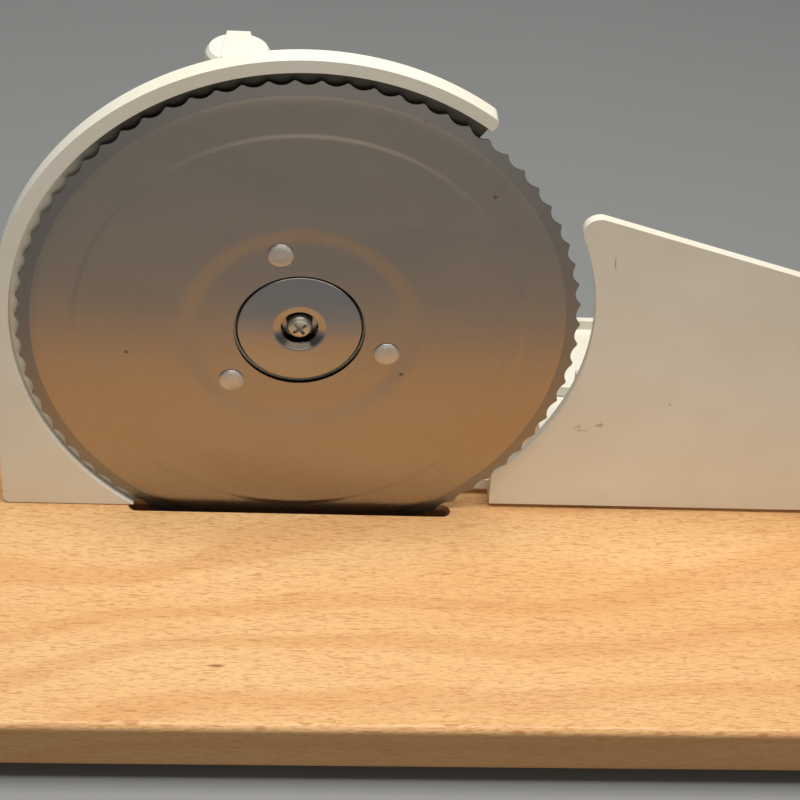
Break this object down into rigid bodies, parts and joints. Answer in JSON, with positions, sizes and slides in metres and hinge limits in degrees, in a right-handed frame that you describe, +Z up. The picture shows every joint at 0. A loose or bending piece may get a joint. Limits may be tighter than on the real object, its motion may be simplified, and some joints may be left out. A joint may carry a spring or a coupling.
{
  "type": "hand-cranked bread slicer",
  "caption": "Hand-cranked slicer: a round scalloped blade in a white guard turns through gears beside a sliding fence on a beech board.",
  "frame": {"origin": "bottom centre of the whole object's bounding box, on the table under the feet", "axes": "+X along the board from the blade towards the fence, +Y from the bread side to the crank side, +Z up"},
  "size_m": [0.35, 0.2316, 0.206],
  "materials": {
    "beech": "oiled beech with fine dark flecks",
    "rubber": "matt black rubber",
    "white_paint": "warm white powder coat, satin",
    "white_plastic": "warm white moulded plastic",
    "gear_plastic": "natural acetal",
    "polished_steel": "polished stainless steel with fine turned lines",
    "brushed_steel": "satin steel",
    "zinc_steel": "zinc plated steel",
    "aluminium": "turned aluminium",
    "brass": "turned brass"
  },
  "bodies": {
    "frame": {"base_board": "beech", "foot_front_left": "rubber", "foot_front_right": "rubber", "foot_back_left": "rubber", "foot_back_right": "rubber", "foot_screw_front_left": "zinc_steel", "foot_screw_front_right": "zinc_steel", "foot_screw_back_left": "zinc_steel", "foot_screw_back_right": "zinc_steel", "blade_guard": "white_paint", "guard_foot_screw_1": "zinc_steel", "guard_foot_screw_2": "zinc_steel", "guard_foot_screw_3": "zinc_steel", "gear_housing": "white_paint", "housing_screw_1": "zinc_steel", "housing_screw_2": "zinc_steel", "housing_screw_3": "zinc_steel", "housing_screw_4": "zinc_steel", "hub_mount_screw_1": "zinc_steel", "hub_mount_screw_2": "zinc_steel", "hub_mount_screw_3": "zinc_steel", "blade_hub": "aluminium", "hub_disc": "polished_steel", "hub_screw": "brushed_steel", "crank_bush_front": "brass", "crank_bush_rear": "brass", "spindle_bearing": "brass", "guide_base": "white_paint", "guide_deck": "white_paint", "guide_cap": "white_paint", "guide_cap_screw_1": "zinc_steel", "guide_cap_screw_2": "zinc_steel", "guide_base_screw_1": "zinc_steel", "guide_base_screw_2": "zinc_steel"},
    "blade": {"slicing_blade": "polished_steel", "blade_gear": "gear_plastic", "blade_rivet_1": "brushed_steel", "blade_rivet_2": "brushed_steel", "blade_rivet_3": "brushed_steel"},
    "crank": {"crank_shaft": "zinc_steel", "drive_gear": "gear_plastic", "crank_arm": "white_paint", "crank_washer": "zinc_steel", "crank_screw": "zinc_steel", "grip_pin": "zinc_steel", "grip_screw": "zinc_steel"},
    "grip": {"crank_grip": "white_plastic"},
    "thickness_dial": {"thickness_knob": "white_plastic", "thickness_spindle": "zinc_steel", "spindle_pinion": "brass"},
    "fence": {"fence_plate": "white_paint", "fence_carriage": "white_paint", "fence_screw_1": "zinc_steel", "fence_screw_2": "zinc_steel", "fence_screw_3": "zinc_steel", "fence_rack": "brass", "rack_screw_1": "zinc_steel", "rack_screw_2": "zinc_steel", "guide_rod_1": "brushed_steel", "guide_rod_2": "brushed_steel"}
  },
  "joints": [
    {"name": "crank_spin", "type": "hinge", "parent": "frame", "child": "crank", "pos_m": [-0.10944, 0, 0.12291], "axis": [0, 1, 0], "continuous": true},
    {"name": "blade_spin", "type": "hinge", "parent": "frame", "child": "blade", "pos_m": [-0.05, 0, 0.1036], "axis": [0, 1, 0], "continuous": true},
    {"name": "grip_spin", "type": "hinge", "parent": "crank", "child": "grip", "pos_m": [-0.10944, 0, 0.0429], "axis": [0, 1, 0], "continuous": true},
    {"name": "fence_slide", "type": "slide", "parent": "frame", "child": "fence", "axis": [0, 1, 0], "range_m": [-0.0029, 0.0111]},
    {"name": "thickness_turn", "type": "hinge", "parent": "frame", "child": "thickness_dial", "pos_m": [-0.073, 0.0142, 0.1036], "axis": [0, 0, 1], "range_deg": [-23.8, 90.9]}
  ],
  "couplings": [
    {"joint": "blade_spin", "follows": "crank_spin", "ratio": -0.66667},
    {"joint": "thickness_turn", "follows": "fence_slide", "rad_per_m": 142.86}
  ]
}
